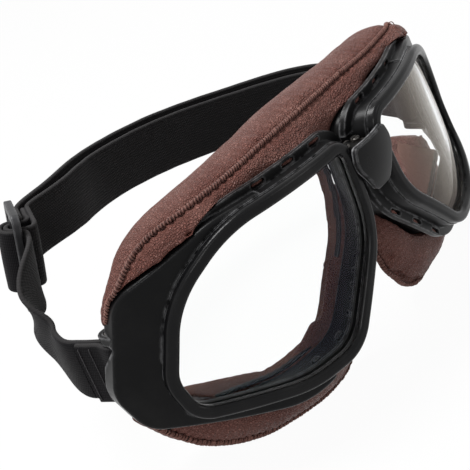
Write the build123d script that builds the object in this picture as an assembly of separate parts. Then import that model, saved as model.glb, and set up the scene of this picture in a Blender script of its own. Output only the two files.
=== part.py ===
from build123d import *
import math
import os

# Aviator flying goggles. X runs to the wearer's left, Y from the goggles to the head and Z up.
# The origin is the middle of the face seat, between the eyes. Lengths are millimetres.

# Driving sizes of the eyecups
opening_width = 70.0
opening_height = 50.0
eye_spacing = 92.0
lens_setback = 34.0
wrap_angle = 20.0
tilt_angle = 7.5
bow_radius = 100.0

# Rim, lens and housing
rim_face = 3.8
rim_proud = 2.2
rim_seat = 0.5
rim_round = 1.3
lens_thickness = 1.9
lens_lap = 1.7
gasket_thickness = 0.8
wall = 1.8
pocket_gap = 0.5
fit_gap = 0.1
plate_sink = 0.9
plate_thickness = 2.2
skirt_depth = 5.2
cup_depth = 14.0
cup_rear_wrap = 11.0
ledge_thickness = 1.2
flange_depth = 4.6
flange_thickness = 1.8
flange_reach = 6.8
slot_length = 5.0
slot_height = 1.4
slot_pitch = 11.5
slot_count = 3
air_hole = 1.1
air_hole_pitch = 4.2
air_hole_count = 5
air_hole_start = 9.0
stud_head = 3.2
stud_head_height = 1.1
stud_shank = 1.5

# Bridge
cover_width = 19.5
cover_height = 16.0
cover_thickness = 1.6
cover_dome_radius = 40.0
cover_front = 42.9
cover_level = 15.2
post_reach = 4.4
bracket_front = 38.6
bracket_plate = 2.0
bracket_depth = 8.0
ear_height = 5.0
ear_depth = 4.4
ear_gap = 0.3
screw_reach = 2.7
screw_back = 34.0
screw_shank = 1.8
screw_head = 3.0
screw_head_height = 1.2
screw_gap = 0.05
post_diameter = 2.4

# Pads
face_radius = 420.0
pad_gap = 0.3
pad_reach = 84.0
pad_half_depth = 13.5
pad_half_height = 12.0
lining_thickness = 1.3
nose_reach = 17.4
nose_back_slope = 0.75
nose_down_slope = 0.6
lining_overlap = -1.0
lining_depth = 5.0
pad_clearance = 0.4
pad_end_clearance = 0.8

# Strap, bars and slider
strap_width = 20.5
strap_thickness = 1.5
bar_diameter = 2.6
bar_reach = 81.6
bar_drop = 5.0
bar_setback = 0.9
bar_heading = 105.0
bar_gap = 0.35
lug_diameter = 5.6
lug_length = 2.6
lug_gap = 0.5
swing_gap = 0.6
loop_tongue = 14.0
loop_depth = 68.0
loop_rise = 16.0
layer_gap = 0.35
slider_reach = 64.2
slider_back = 51.0
slider_height = 32.2
slider_frame = 2.6
slider_thickness = 2.4
slider_bar = 3.2
slider_slot = 4.6
slider_heading = 58.0
slider_lean = 14.0
slider_edge = 0.4
hem_tongue = 14.0
hem_drop = 4.0
wrap_drop = 2.8
wrap_bend = 1.2
wrap_tail = 10.0
end_gap = 0.3
cut_overrun = 60.0

half_width = opening_width / 2
half_height = opening_height / 2
eye_x = eye_spacing / 2

# Corners of the lens opening: outward, upward and corner radius, as shares of the half sizes
opening_shares = [
    (-1.009, 0.984, 0.14),
    (0.257, 0.960, 1.36),
    (0.786, 0.520, 1.12),
    (1.034, -0.300, 0.40),
    (0.971, -0.700, 0.24),
    (0.086, -1.040, 1.60),
    (-0.400, -1.012, 0.48),
    (-0.986, 0.000, 0.96),
]
# Corners of the whole front plate with its temple wing, in the same shares
wing_shares = [
    (-1.129, 1.160, 0.28),
    (0.343, 1.140, 1.20),
    (1.200, 0.820, 0.40),
    (1.486, -0.240, 0.48),
    (1.371, -0.760, 0.36),
    (0.114, -1.380, 1.20),
    (-0.430, -1.180, 0.56),
    (-1.109, -0.040, 0.96),
]
# Outline of the bridge cover as shares of its half width and half height, with corner radii
cover_shares = [
    (-0.82, 1.0, 0.25),
    (0.82, 1.0, 0.25),
    (1.0, 0.30, 0.80),
    (0.36, -1.0, 0.28),
    (-0.36, -1.0, 0.28),
    (-1.0, 0.30, 0.80),
]
# The two studs of each eyecup: outward and upward shares of the half sizes, and the way they point
stud_shares = [(-0.110, -1.028, -92.4), (-0.383, -0.968, -116.7)]
# A pad's outline from its front foot round: depth and outward height, as shares of its half sizes.
# Every second point is the middle of an arc, and the short arc is the sewn welt.
section_shares = [
    (-0.80, -0.70),
    (-1.00, 0.05),
    (-0.64, 0.80),
    (-0.585, 0.965),
    (-0.44, 0.93),
    (0.18, 1.02),
    (0.80, 0.62),
    (1.00, 0.00),
    (0.80, -0.70),
    (0.00, -0.84),
]
# Stations of the brow pad from the middle out: along, back, up, half depth, half height, the
# path's turn in degrees, and how much the outward side falls off towards the back
brow_shares = [
    (0.00, -0.99, 0.96, 1.00, 0.97, 0.0, 0.00),
    (0.28, -1.01, 0.97, 1.03, 0.90, 0.0, 0.04),
    (0.56, -0.92, 0.95, 1.03, 0.82, 5.0, 0.08),
    (0.77, -0.66, 0.90, 0.92, 0.70, 16.0, 0.14),
    (0.863, -0.46, 0.75, 0.60, 0.50, 34.0, 0.20),
    (0.935, -0.27, 0.56, 0.40, 0.31, 60.0, 0.20),
    (0.955, -0.16, 0.38, 0.30, 0.22, 80.0, 0.20),
]
# Stations of a cheek pad from the temple to the nose, in the same shares
cheek_shares = [
    (0.945, 0.10, -0.86, 0.52, 0.40, 116.0, 0.00),
    (0.865, -0.20, -1.12, 0.80, 0.64, 146.0, 0.05),
    (0.70, -0.66, -1.40, 1.04, 0.92, 168.0, 0.15),
    (0.49, -1.10, -1.50, 1.12, 0.99, 184.0, 0.35),
    (0.305, -1.30, -1.38, 1.04, 0.96, 212.0, 0.62),
    (0.188, -1.34, -0.94, 0.98, 0.75, 236.0, 0.70),
    (0.125, -1.28, -0.36, 1.00, 0.54, 248.0, 0.60),
    (0.085, -1.16, 0.16, 1.00, 0.36, 256.0, 0.40),
]
# Free strap routes: along, back and up as shares of the bar reach, loop depth and loop rise,
# and how far the strap leans at each station
short_route_shares = [
    (-1.003, 0.381, 0.00, 1.0),
    (-0.964, 0.488, 0.59, 7.0),
]
outer_route_shares = [
    (-0.500, 0.930, 1.00, 10.0),
    (-0.235, 1.000, 0.90, 8.0),
    (0.060, 1.015, 0.72, 5.0),
    (0.370, 0.945, 0.48, 3.0),
    (0.670, 0.765, 0.25, 2.0),
    (0.915, 0.490, 0.06, 1.0),
]
inner_route_shares = [
    (-0.475, 0.878, 0.94, 10.0),
    (-0.225, 0.940, 0.82, 8.0),
    (0.060, 0.955, 0.64, 5.0),
    (0.355, 0.886, 0.40, 3.0),
    (0.637, 0.715, 0.18, 2.0),
    (0.872, 0.462, 0.00, 1.0),
]


def rounded_face(shares, width, height):
    """A flat face whose corners are rounded, each with its own radius."""
    points = [Vector(u * width, v * height) for u, v, r in shares]
    edges = []
    ends = []
    for i, (u, v, r) in enumerate(shares):
        here = points[i]
        before = (points[i - 1] - here).normalized()
        after = (points[(i + 1) % len(points)] - here).normalized()
        half_corner = math.acos(before.dot(after)) / 2
        radius = r * height
        reach = radius / math.tan(half_corner)
        middle = (before + after).normalized()
        arc_middle = here + middle * (radius / math.sin(half_corner) - radius)
        ends.append((here + before * reach, arc_middle, here + after * reach))
    for i, (start, middle, end) in enumerate(ends):
        edges.append(ThreePointArc(start, middle, end))
        edges.append(Line(end, ends[(i + 1) % len(ends)][0]))
    return make_face(edges)


def upright(face):
    """Stand a face drawn in outward and upward sizes in the eyecup's own frame."""
    return Rot(90, 0, 0) * face


def prism(face):
    """The face run right through the eyecup, front to back."""
    return extrude(upright(face), cut_overrun, both=True)


def layer(front, back):
    """The curved slab between two depths behind the bowed front surface."""
    outer = Cylinder(bow_radius - front, 2 * cut_overrun)
    inner = Cylinder(bow_radius - back, 2 * cut_overrun)
    return Pos(0, bow_radius, 0) * (outer - inner)


def ring(inner, outer):
    """The flat ring between two offsets of the lens opening."""
    return grown(outer) - grown(inner)


opening = rounded_face(opening_shares, half_width, half_height)
wing = rounded_face(wing_shares, half_width, half_height)


def grown(amount):
    """The lens opening grown or shrunk all round."""
    if amount == 0:
        return opening
    return offset(opening, amount, kind=Kind.ARC)


def eye_place():
    """Where the left eyecup's own frame stands."""
    return Pos(eye_x, -lens_setback, 0) * Rot(0, 0, wrap_angle) * Rot(-tilt_angle, 0, 0)


def rear_place():
    """The plane on which the left eyecup's tube ends."""
    spot = eye_place() * Pos(0, cup_depth, 0)
    return Pos(*spot.position) * Rot(0, 0, cup_rear_wrap) * Rot(-tilt_angle, 0, 0)


# Depths behind the bowed front surface, worked out from the sizes above
lens_front = rim_seat + fit_gap
lens_back = lens_front + lens_thickness
gasket_front = lens_back + fit_gap
gasket_back = gasket_front + gasket_thickness
ledge_front = gasket_back + fit_gap
ledge_back = ledge_front + ledge_thickness
tube_inner = lens_lap + pocket_gap
tube_outer = tube_inner + wall
wing_start = -0.14 * half_width
wing_round = plate_thickness / 2


def beyond(start):
    """Everything outward of one upright line of the eyecup."""
    return Pos(start + cut_overrun, 0, 0) * Box(2 * cut_overrun, 2 * cut_overrun, 2 * cut_overrun)


def before_rear():
    """Everything in front of the plane on which the tube ends."""
    plane = eye_place().inverse() * rear_place()
    return plane * Pos(0, -cut_overrun, 0) * Box(4 * cut_overrun, 2 * cut_overrun, 4 * cut_overrun)


def front_edges(solid, depth):
    """The edges that lie on the curved front at this depth."""
    radius = bow_radius - depth
    found = []
    for edge in solid.edges():
        spots = [edge.position_at(t) for t in (0.1, 0.5, 0.9)]
        away = [abs(math.hypot(p.X, p.Y - bow_radius) - radius) for p in spots]
        if max(away) < fit_gap:
            found.append(edge)
    return found


def rim_solid():
    """The raised rounded ring that holds the lens in."""
    body = prism(ring(0, rim_face)) & layer(-rim_proud, rim_seat)
    return fillet(front_edges(body, -rim_proud), rim_round)


def lens_solid():
    """The bowed clear lens."""
    return prism(grown(lens_lap)) & layer(lens_front, lens_back)


def gasket_solid():
    """The thin ring that the lens rests on."""
    return prism(ring(fit_gap * 2, lens_lap)) & layer(gasket_front, gasket_back)


def edge_spot(index, share, reach):
    """A spot along one straight side of the opening, pushed outward, and its outward angle."""
    corners = [Vector(u * half_width, v * half_height) for u, v, r in opening_shares]
    start = corners[index]
    end = corners[(index + 1) % len(corners)]
    along = (end - start).normalized()
    outward = Vector(-along.Y, along.X)
    spot = start + (end - start) * share + outward * reach
    return spot, math.degrees(math.atan2(outward.Y, outward.X))


def slot_cutters():
    """Vent slots in the recessed flange, over the eye and down beside the nose."""
    reach = (tube_outer + flange_reach) / 2
    cutters = []
    for index, first, step in ((0, 1, 1), (len(opening_shares) - 2, slot_count, -1)):
        start, angle = edge_spot(index, 0, reach)
        end, angle = edge_spot(index, 1, reach)
        along = (end - start).normalized()
        origin = start if step > 0 else end
        for i in range(slot_count):
            spot = origin + along * (step * (slot_length + i * slot_pitch))
            cutters.append(Pos(spot.X, spot.Y) * Rot(0, 0, angle - 90) * SlotOverall(slot_length, slot_height))
    return cutters


def bow(u):
    """How far the bowed front falls back at this distance from the lens middle."""
    return bow_radius - math.sqrt(bow_radius**2 - u**2)


def stud_places():
    """Where the studs cross the tube's wall, with their own length pointing outward."""
    places = []
    for across, up, angle in stud_shares:
        outward = Vector(math.cos(math.radians(angle)), math.sin(math.radians(angle)))
        spot = Vector(across * half_width, up * half_height) + outward * tube_inner
        depth = bow(spot.X) + flange_depth + flange_thickness + stud_head / 2
        places.append(Pos(spot.X, depth, spot.Y) * Rot(0, 90 - angle, 0))
    return places


def air_hole_places():
    """Where the row of air holes crosses the tube's wall beside the nose."""
    top, angle = edge_spot(len(opening_shares) - 2, 1, tube_inner)
    foot, angle = edge_spot(len(opening_shares) - 2, 0, tube_inner)
    along = (foot - top).normalized()
    places = []
    for i in range(air_hole_count):
        spot = top + along * (air_hole_start + i * air_hole_pitch)
        depth = bow(spot.X) + flange_depth + flange_thickness + stud_head / 2
        places.append(Pos(spot.X, depth, spot.Y) * Rot(0, 90 - angle, 0))
    return places


bar_half = strap_width / 2 + lug_gap


def lug_solid(side):
    """One lug that holds an end of the strap bar, reaching forward to the wing."""
    middle = side * (bar_half + lug_length / 2)
    boss = Pos(0, 0, middle) * Cylinder(lug_diameter / 2, lug_length)
    web = Pos(0, -cut_overrun / 2, middle) * Box(lug_diameter, cut_overrun, lug_length)
    upright_place = Pos(bar_reach, -bar_setback, -bar_drop)
    local = eye_place().inverse() * upright_place * (boss + web)
    return local & layer(plate_sink + plate_thickness / 2, cut_overrun)


def ear_solid():
    """The ear by which the bridge holds the left eyecup, and the room for the bridge around it."""
    reach = post_reach * 2
    middle = screw_back
    ear = Pos(ear_gap / 2 + reach / 2, -middle, cover_level) * Box(reach, ear_depth, ear_height)
    return eye_place().inverse() * ear


def eyecup_solid():
    """The moulded housing: tube, temple wing with its skirt, vented flange and strap lugs."""
    tube = prism(ring(tube_inner, tube_outer)) & layer(lens_front, cut_overrun) & before_rear()
    ledge = prism(ring(2 * fit_gap, tube_outer)) & layer(ledge_front, ledge_back)
    outer = beyond(wing_start)
    plate = prism(wing - grown(tube_inner)) & layer(plate_sink, plate_sink + plate_thickness) & outer
    skirt = prism(wing - offset(wing, -wall)) & layer(plate_sink, plate_sink + skirt_depth) & outer
    cup = plate + skirt
    cup = fillet(outline_edges(cup), wing_round)
    flange_face = ring(tube_inner, flange_reach)
    for cutter in slot_cutters():
        flange_face = flange_face - cutter
    flange = prism(flange_face) & layer(flange_depth, flange_depth + flange_thickness)
    flange = flange - eye_place().inverse() * bridge_room()
    ear = ear_solid() - prism(grown(tube_inner + wall / 2))
    cup = cup + tube + ledge + flange + ear + lug_solid(1) + lug_solid(-1)
    cup = cup - eye_place().inverse() * bar_hole()
    cup = cup - eye_place().inverse() * strap_room()
    cup = cup - eye_place().inverse() * screw_holes(screw_gap)
    for place in stud_places():
        cup = cup - place * Cylinder(stud_shank / 2 + screw_gap, 4 * wall)
    for place in air_hole_places():
        cup = cup - place * Cylinder(air_hole / 2, 4 * wall)
    return cup


def outline_edges(solid):
    """The front edges that run round the wing's own outline."""
    wire = wing.faces()[0].outer_wire()
    found = []
    for edge in front_edges(solid, plate_sink):
        here = edge.center()
        if wire.distance_to(Vector(here.X, here.Z, 0)) < fit_gap and here.X > wing_start + wall:
            found.append(edge)
    return found


def stud_solids():
    """Both studs of an eyecup, with their heads inside the tube."""
    studs = []
    for place in stud_places():
        head = Pos(0, 0, -stud_head_height / 2) * Cylinder(stud_head / 2, stud_head_height)
        head = fillet(head.edges().sort_by(Axis.Z)[0], stud_head_height / 2)
        shank = Pos(0, 0, wall / 2) * Cylinder(stud_shank / 2, wall)
        studs.append(place * (head + shank))
    return studs


# The strap bars
def strap_room():
    """The room behind the left wing, between its lugs, for the strap's loop to turn in."""
    reach = bar_diameter / 2 + bar_gap + strap_thickness + swing_gap
    block = Pos(bar_reach, cut_overrun / 2 - reach - bar_setback, -bar_drop)
    return block * Box(2 * reach, cut_overrun, 2 * bar_half)


def bar_hole():
    """The hole for the bar through both lugs, in the object's frame."""
    length = 2 * (bar_half + lug_length) + lug_gap
    return Pos(bar_reach, -bar_setback, -bar_drop) * Cylinder(bar_diameter / 2 + screw_gap, length)


def bar_solid():
    """The metal bar that the strap's end loop turns on."""
    length = 2 * (bar_half + lug_length)
    bar = Cylinder(bar_diameter / 2, length)
    bar = chamfer(bar.edges(), bar_diameter / 8)
    return Pos(bar_reach, -bar_setback, -bar_drop) * bar


# The bridge
bracket_bottom = cover_level - ear_height / 2 - ear_gap - bracket_plate
bracket_top = cover_level + ear_height / 2 + ear_gap + bracket_plate


def bridge_room():
    """The room that the flanges leave for the bridge."""
    height = bracket_top - bracket_bottom + 2 * bracket_plate
    depth = 2 * cover_width
    return Pos(0, -bracket_front, cover_level) * Box(cover_width, depth, height)


def screw_holes(gap):
    """Both screw shanks as one cutter or, with no gap, as the shanks themselves."""
    length = bracket_top - bracket_bottom
    shanks = []
    for side in (1, -1):
        place = Pos(side * screw_reach, -screw_back, cover_level)
        shanks.append(place * Cylinder(screw_shank / 2 + gap, length))
    return Part() + shanks


def tube_clearance():
    """The space that both tubes and rims take, with a little room round it."""
    left = prism(grown(tube_outer + pocket_gap)) & layer(-rim_proud - pocket_gap, cut_overrun)
    left = eye_place() * left
    return left + mirror(left, about=Plane.YZ)


def bracket_solid():
    """The folded metal bracket that clamps both ears."""
    height = bracket_top - bracket_bottom
    inside = height - 2 * bracket_plate
    block = Pos(0, -bracket_front + bracket_depth / 2, cover_level) * Box(cover_width, bracket_depth, height)
    room = Pos(0, -bracket_front + bracket_plate + cut_overrun / 2, cover_level)
    block = block - room * Box(2 * cover_width, cut_overrun, inside)
    block = block - tube_clearance()
    block = max(block.solids(), key=lambda solid: solid.volume)
    block = block - screw_holes(screw_gap)
    for place in post_places():
        block = block - place * Cylinder(post_diameter / 2 + screw_gap, cut_overrun)
    return block


def screw_solids():
    """The two screws with their round slotted heads on top."""
    screws = []
    for side in (1, -1):
        place = Pos(side * screw_reach, -screw_back, bracket_top)
        length = bracket_top - bracket_bottom
        shank = Pos(0, 0, -length / 2) * Cylinder(screw_shank / 2, length)
        head = Pos(0, 0, screw_head_height / 2) * Cylinder(screw_head / 2, screw_head_height)
        head = fillet(head.edges().sort_by(Axis.Z)[-1], screw_head_height / 3)
        slot = Pos(0, 0, screw_head_height) * Box(screw_head, screw_head / 6, screw_head_height)
        screws.append(place * (shank + head - slot))
    return screws


def post_places():
    """The two posts by which the cover is held to the bracket, one above the other."""
    rise = (ear_height - post_diameter) / 2
    return [Pos(0, -cover_front, cover_level + side * rise) * Rot(90, 0, 0) for side in (1, -1)]


def cover_solid():
    """The domed shield in front of the bridge, with its two posts."""
    outline = rounded_face(cover_shares, cover_width / 2, cover_height / 2)
    middle = Pos(0, -cover_front + cover_dome_radius, cover_level)
    body = Pos(0, 0, cover_level) * extrude(upright(outline), cut_overrun, both=True)
    shell = middle * (Sphere(cover_dome_radius) - Sphere(cover_dome_radius - cover_thickness))
    front = Pos(0, -cover_front, cover_level) * Box(2 * cover_width, 2 * post_reach, 2 * cover_height)
    body = body & shell & front
    edges = [e for e in body.edges() if (e.center() - middle.position).length > cover_dome_radius - fit_gap * 4]
    body = fillet(edges, cover_thickness / 3)
    length = cover_front - bracket_front + bracket_plate - cover_thickness / 2
    for place in post_places():
        start = Pos(*place.position) * Pos(0, cover_thickness / 2 + length / 2, 0)
        body = body + start * Rot(90, 0, 0) * Cylinder(post_diameter / 2, length)
    return body


# The pads
def pad_section(station, half_depth, half_up):
    """One closed outline across a pad: four soft sides and the small sewn welt."""
    along, back, up, depth, rise, turn, fall = station
    way = math.radians(turn)
    place = Plane(
        origin=(along * pad_reach, back * half_depth, up * half_up),
        x_dir=(0, 1, 0),
        z_dir=(math.cos(way), 0, -math.sin(way)),
    )
    points = []
    for d, r in section_shares:
        left_over = 1 - fall * (d + 1) / 2 if r > 0 else 1
        points.append(Vector(d * depth * half_depth, r * left_over * rise * pad_half_height))
    edges = []
    for i in range(0, len(points), 2):
        edges.append(ThreePointArc(points[i], points[i + 1], points[(i + 2) % len(points)]))
    return place * make_face(edges)


def front_clearance():
    """The plate and flange of the left eyecup and all that is in front of them."""
    outline = wing + grown(flange_reach)
    outline = offset(outline, pad_clearance, kind=Kind.ARC)
    return eye_place() * (prism(outline) & layer(-cut_overrun / 2, flange_depth + flange_thickness + pad_gap))


def eye_clearance():
    """All that a pad leaves free round the left eyecup: its plate, flange, tube and eye space."""
    tube = prism(grown(tube_outer + pad_gap)) & layer(lens_front, cut_overrun) & before_rear()
    return front_clearance() + eye_place() * tube + cavity(tube_inner + lining_overlap + fit_gap)


def cavity(amount):
    """The eye space from the tube's rear back to the face, at one offset from the opening."""
    face = rear_place() * upright(grown(amount))
    return extrude(face, cut_overrun, dir=(0, 1, 0))


def lug_clearance():
    """The room round the left strap bar and the strap that swings on it."""
    height = 2 * (bar_half + lug_length + pad_end_clearance)
    return Pos(bar_reach, 0, -bar_drop) * Box(4 * lug_diameter, cut_overrun, height)


def brow_pad_solid():
    """The long pad over both eyes."""
    left = [pad_section(s, pad_half_depth, half_height) for s in brow_shares]
    right = [mirror(face, about=Plane.YZ) for face in reversed(left[1:])]
    pad = loft(right + left)
    room = eye_clearance() + lug_clearance()
    return pad - room - mirror(room, about=Plane.YZ)


def cheek_pad_solid():
    """The left pad that follows the eyecup from the temple under the eye to the nose."""
    pad = loft([pad_section(s, pad_half_depth, half_height) for s in cheek_shares])
    return pad - eye_clearance() - lug_clearance()


def nose_room():
    """The space for the nose's left side, which the lining leaves free."""
    way = Vector(1, -nose_back_slope, nose_down_slope).normalized()
    side = Plane(origin=(nose_reach, 0, 0), z_dir=way)
    return side.location * Pos(0, 0, -cut_overrun / 2) * Box(4 * cut_overrun, 4 * cut_overrun, cut_overrun)


def lining_solid():
    """The soft ring inside the pads, from the tube's rear to the face."""
    outer = tube_inner + lining_overlap
    ring_solid = cavity(outer) - cavity(outer - lining_thickness)
    behind = rear_place() * Pos(0, lining_depth + cut_overrun, 0)
    behind = behind * Box(4 * cut_overrun, 2 * cut_overrun, 4 * cut_overrun)
    ring_solid = Pos(0, fit_gap, 0) * ring_solid - behind - nose_room()
    return ring_solid - front_clearance() - strap_room()


# The strap
def ribbon(spots, first_way, last_way, first_lean, leans, last_lean):
    """A flat strap through the spots, leaning by its own amount at each of them."""
    path = Spline(*spots, tangents=(first_way, last_way))
    turns = [first_lean] + leans + [last_lean]
    steps = 3 * (len(spots) - 1)
    sections = []
    for i in range(steps + 1):
        share = i / steps
        spot = path.position_at(share)
        way = path.tangent_at(share)
        level = Vector(0, 0, 1)
        across = (level - way * level.dot(way)).normalized()
        at = share * (len(turns) - 1)
        before = min(int(at), len(turns) - 2)
        lean = turns[before] + (turns[before + 1] - turns[before]) * (at - before)
        across = across.rotate(Axis((0, 0, 0), way), lean)
        place = Plane(origin=spot, x_dir=across, z_dir=way)
        sections.append(place * Rectangle(strap_width, strap_thickness))
    return loft(sections)


def end_loop(side):
    """The sewn loop round one strap bar and the double tongue behind it."""
    inner = bar_diameter / 2 + bar_gap
    outer = inner + strap_thickness
    tongue = Pos(loop_tongue / 2, 0) * Rectangle(loop_tongue, 2 * strap_thickness)
    profile = Circle(outer) + tongue - Circle(inner)
    place = Pos(side * bar_reach, -bar_setback, -bar_drop) * Rot(0, 0, 90 - side * (bar_heading - 90))
    return place * extrude(profile, strap_width / 2, both=True)


def slider_plane():
    """The slider's own frame: X along the strap, Y away from the head and Z along its bars."""
    way = math.radians(slider_heading)
    lean = math.radians(slider_lean)
    along = Vector(math.cos(way), math.sin(way), 0)
    inward = Vector(-along.Y, along.X, 0)
    up = Vector(0, 0, 1) * math.cos(lean) - inward * math.sin(lean)
    return Plane(origin=(-slider_reach, slider_back, loop_rise), x_dir=along, z_dir=up)


def slider_spot(along, outward):
    """A point of the slider's own frame, halfway up its bars."""
    return slider_plane().from_local_coords(Vector(along, outward, 0))


def slider_solid():
    """The flat three-bar slider with rounded edges."""
    length = slider_bar + 2 * slider_slot + 2 * slider_frame
    frame = RectangleRounded(length, slider_height, slider_frame)
    slots = Rectangle(slider_slot, slider_height - 2 * slider_frame)
    reach = (slider_bar + slider_slot) / 2
    face = frame - Pos(reach, 0) * slots - Pos(-reach, 0) * slots
    body = extrude(face, slider_thickness / 2, both=True)
    middle = [e for e in body.edges() if abs(abs(e.center().X) - slider_bar / 2) < fit_gap]
    middle = [e for e in middle if abs(abs(e.center().Z) - slider_thickness / 2) < fit_gap]
    rim = [e for e in body.edges() if abs(e.center().Z) > fit_gap and abs(e.center().X) > slider_bar]
    body = fillet(middle, slider_thickness / 2 - fit_gap)
    rim = [e for e in body.edges() if abs(abs(e.center().Z) - slider_thickness / 2) < fit_gap / 10]
    rim = [e for e in rim if abs(e.center().X) > slider_bar / 2 + slider_slot - fit_gap]
    body = fillet(rim, slider_edge)
    return slider_plane().location * Rot(90, 0, 0) * body


# Radii of the two strap layers where they bend over the slider's middle bar
hem_inner = slider_bar / 2 + end_gap
hem_outer = hem_inner + strap_thickness
wrap_inner = hem_outer + layer_gap
wrap_outer = wrap_inner + strap_thickness
wrap_middle = wrap_inner + strap_thickness / 2
hem_thickness = 2 * strap_thickness


def hem_solid():
    """The strap's sewn end: round the middle bar and back to itself as a double tongue."""
    arch = Circle(hem_outer) + Pos(0, -hem_drop / 2) * Rectangle(2 * hem_outer, hem_drop)
    hollow = Circle(hem_inner) + Pos(0, -hem_drop / 2) * Rectangle(2 * hem_inner, hem_drop)
    tongue = Pos((hem_tongue - hem_outer) / 2, -hem_drop - hem_thickness / 2)
    profile = arch - hollow + tongue * Rectangle(hem_tongue + hem_outer, hem_thickness)
    return slider_plane().location * extrude(profile, strap_width / 2, both=True)


def wrap_solid():
    """The running strap: up through one slot, over the bar and down through the other."""
    start = wrap_drop - wrap_bend
    legs = []
    for side in (1, -1):
        turn = wrap_middle + wrap_bend
        middle = Pos(side * turn, -start)
        outer = Circle(wrap_bend + strap_thickness / 2) - Circle(wrap_bend - strap_thickness / 2)
        corner = Pos(-side * wrap_bend, -wrap_bend) * Rectangle(2 * wrap_bend, 2 * wrap_bend)
        tail = (hem_tongue if side > 0 else wrap_tail) - turn
        legs.append(middle * (outer & corner))
        legs.append(Pos(side * (turn + tail / 2), -wrap_drop) * Rectangle(tail, strap_thickness))
        legs.append(Pos(side * wrap_middle, -start / 2) * Rectangle(strap_thickness, start))
    arch = Circle(wrap_outer) - Circle(wrap_inner)
    arch = arch & Pos(0, wrap_outer) * Rectangle(2 * wrap_outer, 2 * wrap_outer)
    profile = arch
    for leg in legs:
        profile = profile + leg
    return slider_plane().location * extrude(profile, strap_width / 2, both=True)


def route_spots(shares):
    """The centre points of one free strap."""
    return [Vector(a * bar_reach, b * loop_depth, c * loop_rise) for a, b, c, lean in shares]


def loop_end(side, distance, outward):
    """A point behind one end loop's tongue, shifted across the strap."""
    place = Pos(side * bar_reach, -bar_setback, -bar_drop) * Rot(0, 0, 90 - side * (bar_heading - 90))
    return (place * Pos(distance, -side * outward, 0)).position


def loop_way(side):
    """The way in which one end loop's strap leaves its bar."""
    angle = math.radians(90 - side * (bar_heading - 90))
    return Vector(math.cos(angle), math.sin(angle), 0)


def short_run_solid():
    """The single strap between the right end loop and the slider."""
    start = loop_end(-1, loop_tongue + 3 * end_gap, 0)
    end = slider_spot(-wrap_tail - end_gap, -wrap_drop)
    spots = [start] + route_spots(short_route_shares) + [end]
    leans = [lean for a, b, c, lean in short_route_shares]
    return ribbon(spots, loop_way(-1), slider_plane().x_dir, 0, leans, slider_lean)


def long_run_solids(shares, start, shift):
    """One long strap from the slider to the left end loop, in three pieces."""
    way = slider_plane().x_dir
    end = loop_end(1, loop_tongue + end_gap, shift)
    spots = [start] + route_spots(shares) + [end]
    leans = [slider_lean] + [lean for a, b, c, lean in shares] + [0]
    whole = Spline(*spots, tangents=(way, loop_way(1) * -1))
    pieces = []
    cuts = [0, 2, len(spots) - 3, len(spots) - 1]
    for first, last in zip(cuts, cuts[1:]):
        part_spots = spots[first:last + 1]
        ways = [whole.tangent_at(whole.param_at_point(spots[i])) for i in (first, last)]
        shortened = list(part_spots)
        if first > 0:
            shortened[0] = part_spots[0] + ways[0] * end_gap
        inner_leans = leans[first + 1:last]
        pieces.append(ribbon(shortened, ways[0], ways[1], leans[first], inner_leans, leans[last]))
    return pieces


# Every piece in its place, one file for each
def place_left(solid):
    """Put a solid of the eyecup's own frame on the left side."""
    return eye_place() * solid


def both_sides(name, solid, parts):
    """Keep a left piece and its mirror image."""
    parts["left_" + name] = solid
    parts["right_" + name] = mirror(solid, about=Plane.YZ)


def all_parts():
    """Every piece of the goggles by name."""
    parts = {}
    both_sides("eyecup", place_left(eyecup_solid()), parts)
    both_sides("rim", place_left(rim_solid()), parts)
    both_sides("lens", place_left(lens_solid()), parts)
    both_sides("lens_gasket", place_left(gasket_solid()), parts)
    both_sides("pad_studs", Compound(children=[place_left(s) for s in stud_solids()]), parts)
    both_sides("strap_bar", bar_solid(), parts)
    parts["bridge_bracket"] = bracket_solid()
    parts["bridge_cover"] = cover_solid()
    parts["bridge_screws"] = Compound(children=screw_solids())
    parts["brow_pad"] = brow_pad_solid()
    both_sides("cheek_pad", cheek_pad_solid(), parts)
    both_sides("lining", lining_solid(), parts)
    parts["right_end_loop"] = end_loop(-1)
    parts["left_end_loop"] = end_loop(1)
    parts["slider"] = slider_solid()
    parts["slider_hem_loop"] = hem_solid()
    parts["slider_wrap"] = wrap_solid()
    parts["short_run"] = short_run_solid()
    outer_start = slider_spot(hem_tongue + end_gap, -wrap_drop)
    inner_start = slider_spot(hem_tongue + end_gap, -hem_drop - hem_thickness / 2)
    names = ["slider_run", "back_run", "left_run"]
    for name, solid in zip(names, long_run_solids(outer_route_shares, outer_start, strap_thickness)):
        parts["outer_" + name] = solid
    for name, solid in zip(names, long_run_solids(inner_route_shares, inner_start, -strap_thickness)):
        parts["inner_" + name] = solid
    return parts


if __name__ == "__main__":
    os.makedirs("parts", exist_ok=True)
    for name, solid in all_parts().items():
        export_step(solid, os.path.join("parts", name + ".step"))
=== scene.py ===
import bpy
from math import atan2, cos, exp, hypot, pi, radians, sin, sqrt
from mathutils import Matrix, Vector
from mathutils.bvhtree import BVHTree
from mathutils.kdtree import KDTree
from mathutils.noise import noise


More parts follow.
